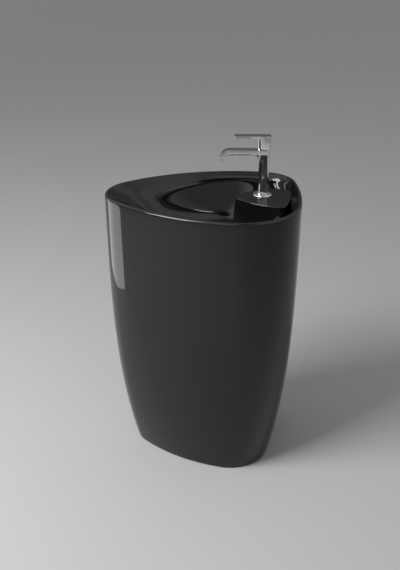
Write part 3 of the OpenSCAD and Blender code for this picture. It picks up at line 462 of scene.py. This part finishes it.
def shellRings(s):
    rimZ, lip = s["rimHeight"], s["lipRadius"]
    lipZ = rimZ - lip
    rim = wallPlan(lipZ, s)
    deck = outline(s["deckCorners"], s["deckBulges"], s)
    deckZ = rimZ - s["deckDrop"]
    edge = s["deckEdge"]
    lipTurn = radians(s["lipEnd"])
    lipFoot = inset(rim, lip * (1 - cos(lipTurn)), lipZ + lip * sin(lipTurn))
    slopeStart, slopeEnd = s["slope"]
    count = len(rim)
    depth = [
        lerp(
            s["bowlDeep"],
            s["channelDeep"],
            smoothStep(((lipFoot[i][0] + deck[i][0]) / 2 - slopeStart) / (slopeEnd - slopeStart)),
        )
        for i in range(count)
    ]
    flare = [s["deckDraft"] * (d - s["deckDrop"]) for d in depth]
    gap = [(a[0] - b[0]) * b[2] + (a[1] - b[1]) * b[3] for a, b in zip(lipFoot, deck)]
    cove = [min(s["coveLargest"], s["coveShare"] * (gap[i] - flare[i])) for i in range(count)]
    floorZ = [rimZ - d for d in depth]

    def roundDeck(offsets, heights):
        return [(p[0] + d * p[2], p[1] + d * p[3], z) for p, d, z in zip(deck, offsets, heights)]

    coveFoot = roundDeck([f + c for f, c in zip(flare, cove)], floorZ)
    underTop = inset(rim, s["wall"], 0)
    leadRate, leadMost = s["underLead"]
    lead = [min(leadMost, leadRate * s["bowlThick"] / g) for g in gap]
    steps, cap = s["rings"], s["capInset"]
    rings = [(inset(deck, edge + cap, deckZ), 0)]
    for k in range(steps["edge"] + 1):
        a = radians(k * 90 / steps["edge"])
        rings.append((inset(deck, edge * (1 - sin(a)), deckZ - edge * (1 - cos(a))), 0))
    for k in range(1, steps["deckSide"] + 1):
        t = k / steps["deckSide"]
        heights = [lerp(deckZ - edge, floorZ[i] + cove[i], t) for i in range(count)]
        rings.append((roundDeck([f * t for f in flare], heights), 0))
    for k in range(1, steps["cove"] + 1):
        a = radians(90 - k * 90 / steps["cove"])
        offsets = [flare[i] + cove[i] * (1 - sin(a)) for i in range(count)]
        heights = [floorZ[i] + cove[i] * (1 - cos(a)) for i in range(count)]
        rings.append((roundDeck(offsets, heights), 0))
    for k in range(1, steps["bowl"]):
        u = 1 - k / steps["bowl"]
        rings.append(
            (
                [
                    (
                        lerp(lipFoot[i][0], coveFoot[i][0], u),
                        lerp(lipFoot[i][1], coveFoot[i][1], u),
                        lerp(lipFoot[i][2], floorZ[i], fall(u, s)),
                    )
                    for i in range(count)
                ],
                0,
            )
        )
    for k in range(steps["lip"] + 1):
        a = lipTurn * (1 - k / steps["lip"])
        rings.append((inset(rim, lip * (1 - cos(a)), lipZ + lip * sin(a)), 0))
    for k in range(1, steps["wall"]):
        z = lipZ * (1 - k / steps["wall"]) ** s["wallSpread"]
        rings.append((inset(wallPlan(z, s), 0, z), 0))
    foot = wallPlan(0, s)
    for k in range(steps["foot"] + 1):
        a = radians(k * 90 / steps["foot"])
        rings.append((inset(foot, s["footRound"] * (1 - cos(a)), s["footRound"] * (1 - sin(a))), 0))
    for k in range(steps["inner"] + 1):
        z = lipZ * s["innerTop"] * (k / steps["inner"]) ** s["innerSpread"]
        rings.append((inset(wallPlan(z, s), s["wall"], z), 1))
    for k in range(steps["under"] + 1):
        u = k / steps["under"]
        rings.append(
            (
                [
                    (
                        lerp(underTop[i][0], coveFoot[i][0], u),
                        lerp(underTop[i][1], coveFoot[i][1], u),
                        lerp(lipFoot[i][2], floorZ[i], fall(min(1, u + lead[i]), s)) - s["bowlThick"],
                    )
                    for i in range(count)
                ],
                1,
            )
        )
    thick, under = s["deckThick"], deckZ - s["bowlThick"]  # the hollow under the deck
    rings.append((roundDeck([f - thick for f in flare], [z - s["bowlThick"] for z in floorZ]), 1))
    rings.append((inset(deck, thick, under - edge), 1))
    rings.append((inset(deck, thick + edge, under), 1))
    rings.append((inset(deck, thick + edge + cap, under), 1))
    return rings


def loft(name, rings):  # closed skin through rings of as many points, capped at both ends
    mesh = bpy.data.meshes.new(name)
    made = bmesh.new()
    rows = [[made.verts.new((x * mm, y * mm, z * mm)) for x, y, z in ring] for ring, slot in rings]
    count = len(rows[0])
    made.faces.new(rows[0][::-1])
    for (low, high), (ring, slot) in zip(zip(rows, rows[1:]), rings[1:]):
        for i in range(count):
            j = (i + 1) % count
            made.faces.new((low[i], low[j], high[j], high[i])).material_index = slot
    made.faces.new(rows[-1]).material_index = rings[-1][1]
    bmesh.ops.recalc_face_normals(made, faces=made.faces)
    made.to_mesh(mesh)
    made.free()
    piece = bpy.data.objects.new(name, mesh)
    bpy.context.scene.collection.objects.link(piece)
    return piece


def makeActive(piece):
    bpy.ops.object.select_all(action="DESELECT")
    piece.select_set(True)
    bpy.context.view_layer.objects.active = piece


def applyAll(piece):
    makeActive(piece)
    for modifier in list(piece.modifiers):
        bpy.ops.object.modifier_apply(modifier=modifier.name)


def serviceCutter(s):
    v = s["service"]
    half, top, r, edge = v["width"] / 2, v["height"], v["radius"], v["edge"]
    upSteps, archSteps, headSteps = v["sideSteps"], v["archSteps"], v["headSteps"]
    sill = (-v["below"], -v["below"] / 5)
    shape = [(-half, z, -1.0, 0.0) for z in sill]
    shape += [(-half, (top - r) * k / upSteps, -1.0, 0.0) for k in range(upSteps + 1)]
    for side, start in ((-1, 180), (1, 90)):
        for k in range(1, archSteps + 1) if side < 0 else range(archSteps):
            a = radians(start - k * 90 / archSteps)
            shape.append((side * (half - r) + r * cos(a), top - r + r * sin(a), cos(a), sin(a)))
        if side < 0:
            across = [lerp(r - half, half - r, k / headSteps) for k in range(1, headSteps)]
            shape += [(x, top, 0.0, 1.0) for x in across]
    shape += [(half, (top - r) * k / upSteps, 1.0, 0.0) for k in range(upSteps, -1, -1)]
    shape += [(half, z, 1.0, 0.0) for z in reversed(sill)]

    def ring(offset, deep, outside):
        points = []
        for x, z, nx, nz in shape:
            px, pz = v["middle"] + x + offset * nx, z + offset * nz
            if outside:
                y = backFace(px, pz, 0, s)[0] - deep
            else:
                y = backFace(px, pz, s["wall"], s)[0] + deep
            points.append((px, y, pz))
        return points

    def flat(offset, y):
        return [(v["middle"] + x + offset * nx, y, z + offset * nz) for x, z, nx, nz in shape]

    steps = [radians(a) for a in v["edgeAngles"]]
    far = edge * (1 - cos(steps[0])) + edge
    start = edge * (1 - sin(steps[0])) - edge * v["edgeOverrun"]
    behind, inside = v["reach"]
    rings = [flat(far, behind), ring(far, start, True)]
    rings += [ring(edge * (1 - cos(a)), edge * (1 - sin(a)), True) for a in steps]
    rings += [ring(edge * (1 - cos(a)), edge * (1 - sin(a)), False) for a in reversed(steps)]
    rings += [ring(far, start, False), flat(far, inside)]
    return loft("serviceCutter", [(points, 0) for points in rings])


def drill(x, y, z, radius, length, turn=(0, 0, 0)):
    bpy.ops.mesh.primitive_cylinder_add(
        vertices=96,
        radius=radius * mm,
        depth=length * mm,
        location=(x * mm, y * mm, z * mm),
        rotation=turn,
    )
    return bpy.context.object


def cutAway(piece, cutter):
    cut = piece.modifiers.new("cut", "BOOLEAN")
    cut.object = cutter
    cut.solver = "EXACT"
    applyAll(piece)
    bpy.data.objects.remove(cutter)


def makeBody(s):
    body = loft("ceramicBody", shellRings(s))
    body.data.materials.append(finishes["glaze"])
    body.data.materials.append(finishes["fireclay"])
    cutAway(body, serviceCutter(s))
    drills, sleeves = s["drills"], s["sleeves"]
    for (x, y, r), drop in ((s["waste"], s["bowlDeep"]), (s["tapHole"], s["deckDrop"])):
        z = s["rimHeight"] - drop - drills["below"]
        cutAway(body, drill(x, y, z, r, drills["through"]))
    for x in sleeves["places"]:
        y, outward = backFace(x, sleeves["height"], 0, s)
        turn = (pi / 2, 0, outward - pi / 2)
        cutAway(body, drill(x, y, sleeves["height"], sleeves["radius"], drills["intoWall"], turn))
    makeActive(body)
    bpy.ops.object.shade_smooth_by_angle(angle=smoothUnder)
    return body


basin["facing"] = directions(basin)
ceramicBody = makeBody(basin)
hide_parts("basin")
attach(ceramicBody, "root")
print("ceramic body:", len(ceramicBody.data.polygons), "faces")


# ---- tap: the solid castings with their edges softened

tapEdges = {
    "tap_body": ("tapCasting", 0.7),
    "lever": ("leverHandle", 0.6),
    "tap_base_plate": ("basePlate", 0.3),
}


softening = {"weld": 0.000005, "flatWithin": 0.6, "bevelAbove": 38, "segments": 3}


def softened(nodeName, pieceName, width, s):
    makeActive(cadNodes[nodeName])
    bpy.ops.object.duplicate()
    piece = bpy.context.object
    piece.name = piece.data.name = pieceName
    bpy.ops.object.mode_set(mode="EDIT")
    bpy.ops.mesh.select_all(action="SELECT")
    bpy.ops.mesh.remove_doubles(threshold=s["weld"])
    bpy.ops.mesh.dissolve_limited(angle_limit=radians(s["flatWithin"]))
    bpy.ops.mesh.normals_make_consistent(inside=False)
    bpy.ops.object.mode_set(mode="OBJECT")
    edge = piece.modifiers.new("edge", "BEVEL")
    edge.width = width * mm
    edge.segments = s["segments"]
    edge.limit_method = "ANGLE"
    edge.angle_limit = radians(s["bevelAbove"])
    edge.harden_normals = False
    applyAll(piece)
    bpy.ops.object.shade_smooth_by_angle(angle=smoothUnder)
    return piece


for nodeName, (pieceName, width) in tapEdges.items():
    piece = softened(nodeName, pieceName, width, softening)
    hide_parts(nodeName)
    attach(piece, "lever" if nodeName == "lever" else "root")
    print(pieceName, len(piece.data.polygons), "faces")


# ---- studio

studio = {
    "floorSize": 60.0,
    "floorColour": 0.8,
    "lamps": {
        "key": {"place": (-2.1, -1.3, 2.9), "aim": (0, 0, 0.7), "size": (1.6, 1.6), "power": 82},
        "window": {
            "place": (-1.35, 0.4, 0.52),
            "aim": (0, 0.4, 0.52),
            "size": (0.85, 1.04),
            "power": 5.5,
            "matte": False,  # seen in gloss only, lights no matte surface
        },
    },
    "shade": 0.22,
    "backdrop": 0.62,
    "mirrored": 0.42,
    # what shiny surfaces mirror: direction (turn from +Y towards +X, height), half width, edge, level
    "panels": {
        "lowBack": ((0, 0), 12, 45, 0.1),
        "left": ((-70, 48), 15, 38, 1.0),
        "frontLeft": ((-142, 56), 18, 36, 1.3),
        "right": ((95, 52), 12, 36, 0.8),
        "darkFront": ((170, 55), 8, 20, 0.0),
    },
}


class Sky(Finish):
    def __init__(self, world):
        world.use_nodes = True
        self.tree = world.node_tree
        self.place = self.node("TexCoord", output="Generated")

    def glow(self, level):
        return self.node("Background", {}, {"Color": tint(1, 1, 1), "Strength": level})

    def mix(self, mask, first, second):
        return self.node("MixShader", {}, {0: mask, 1: first, 2: second})

    def near(self, direction, inner, outer):
        turn, height = (radians(a) for a in direction)
        aim = (sin(turn) * cos(height), cos(turn) * cos(height), sin(height))
        settings = {"operation": "DOT_PRODUCT"}
        facing = self.node("VectorMath", settings, {0: self.place, 1: aim}, output="Value")
        return self.between(facing, cos(radians(outer)), cos(radians(inner)))


def areaLight(name, spec):
    bpy.ops.object.light_add(type="AREA", location=spec["place"])
    lamp = bpy.context.object
    lamp.name = name
    lamp.data.shape = "RECTANGLE"
    lamp.data.size, lamp.data.size_y = spec["size"]
    lamp.data.energy = spec["power"]
    lamp.visible_diffuse = spec.get("matte", True)
    lamp.rotation_euler = (Vector(spec["aim"]) - lamp.location).to_track_quat("-Z", "Y").to_euler()
    return lamp


def makeStudio(s):
    bpy.ops.mesh.primitive_plane_add(size=s["floorSize"], location=(0, 0, 0))
    floor = bpy.context.object
    floor.name = "studioFloor"
    f = Finish("paleFloor", Roughness=0.55, Specular_IOR_Level=0.3)
    tone = s["floorColour"]
    f.feed("Base Color", f.blend(f.noise(3.0, 2.0), grey(tone), grey(tone * 1.02)))
    floor.data.materials.append(f.material)
    for name, spec in s["lamps"].items():
        areaLight(name, spec)
    world = bpy.data.worlds.new("studioWorld")
    bpy.context.scene.world = world
    sky = Sky(world)
    mirrored = sky.glow(s["mirrored"])
    for direction, inner, outer, level in s["panels"].values():
        mirrored = sky.mix(sky.near(direction, inner, outer), mirrored, sky.glow(level))
    lit = sky.mix(sky.node("LightPath", output="Is Glossy Ray"), sky.glow(s["shade"]), mirrored)
    seen = sky.mix(sky.node("LightPath", output="Is Camera Ray"), lit, sky.glow(s["backdrop"]))
    sky.tree.links.new(seen.socket, sky.tree.nodes["World Output"].inputs["Surface"])


makeStudio(studio)
bpy.context.scene.view_settings.view_transform = "Standard"
print("studio set")
